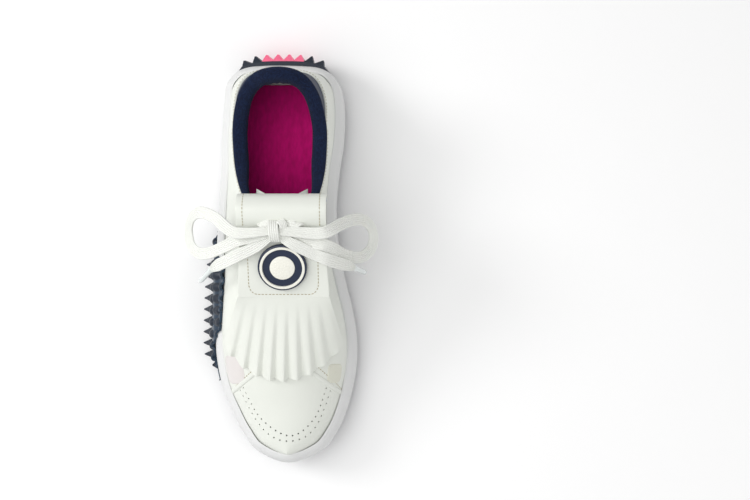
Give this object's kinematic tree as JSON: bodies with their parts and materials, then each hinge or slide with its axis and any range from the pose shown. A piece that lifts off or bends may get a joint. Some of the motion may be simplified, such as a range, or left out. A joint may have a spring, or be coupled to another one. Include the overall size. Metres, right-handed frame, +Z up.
{
  "type": "golf shoe",
  "caption": "Low spikeless golf shoe for the right foot with a pleated kiltie, padded knit collar, studded rubber outsole and a tied bow.",
  "frame": {"origin": "middle of the footprint, on the ground plane that the stud tips stand on", "axes": "+Z up, -Y towards the toe, +Y towards the heel, +X towards the medial side"},
  "size_m": [0.1276, 0.286, 0.1129],
  "materials": {
    "leather_white": "fine grained, matt",
    "leather_slate": "smooth, satin",
    "rubber_navy": "moulded, satin",
    "rubber_pink": "moulded, satin",
    "midsole_white": "moulded, matt",
    "foam_core": "foam",
    "shank_plastic": "moulded",
    "board": "pressed fibre",
    "insole_fabric": "brushed knit",
    "lining_fabric": "mesh",
    "knit_navy": "knitted mesh",
    "label_film": "satin film",
    "kiltie_backing": "suede side",
    "medallion_navy": "moulded, satin",
    "medallion_white": "moulded, satin",
    "rivet_steel": "satin",
    "lace_white": "flat weave",
    "aglet_film": "clear film over lace"
  },
  "bodies": {
    "shoe": {"outsole": "rubber_navy", "heel_insert": "rubber_pink", "side_wing": "rubber_navy", "midsole_shell": "midsole_white", "midsole_core": "foam_core", "shank": "shank_plastic", "insole_board": "board", "insole_foam": "foam_core", "insole_cover": "insole_fabric", "quarter_lateral": "leather_white", "quarter_medial": "leather_white", "vamp": "leather_white", "toe_puff": "board", "vamp_lining": "lining_fabric", "heel_counter": "board", "heel_tab": "leather_slate", "collar_lining": "knit_navy", "collar_foam": "foam_core", "eyestay_lateral": "leather_white", "eyestay_medial": "leather_white", "label_lateral": "label_film", "label_medial": "label_film", "tongue": "leather_white", "tongue_padding": "knit_navy", "kiltie_strap": "leather_white", "kiltie_lining": "kiltie_backing", "medallion_base": "medallion_navy", "medallion_ring": "medallion_white", "medallion_emblem": "medallion_white", "medallion_rivet": "rivet_steel", "lace_rungs": "lace_white", "lace_knot": "lace_white", "lace_loop_lateral": "lace_white", "lace_loop_medial": "lace_white", "lace_tail_lateral": "lace_white", "lace_tail_medial": "lace_white", "aglet_lateral": "aglet_film", "aglet_medial": "aglet_film"},
    "fringe": {"kiltie_fringe": "leather_white"}
  },
  "joints": [
    {"name": "kiltie_lift", "type": "hinge", "parent": "shoe", "child": "fringe", "pos_m": [0.0087, -0.0297, 0.0838], "axis": [-1, 0, 0], "range_deg": [0, 90]}
  ]
}
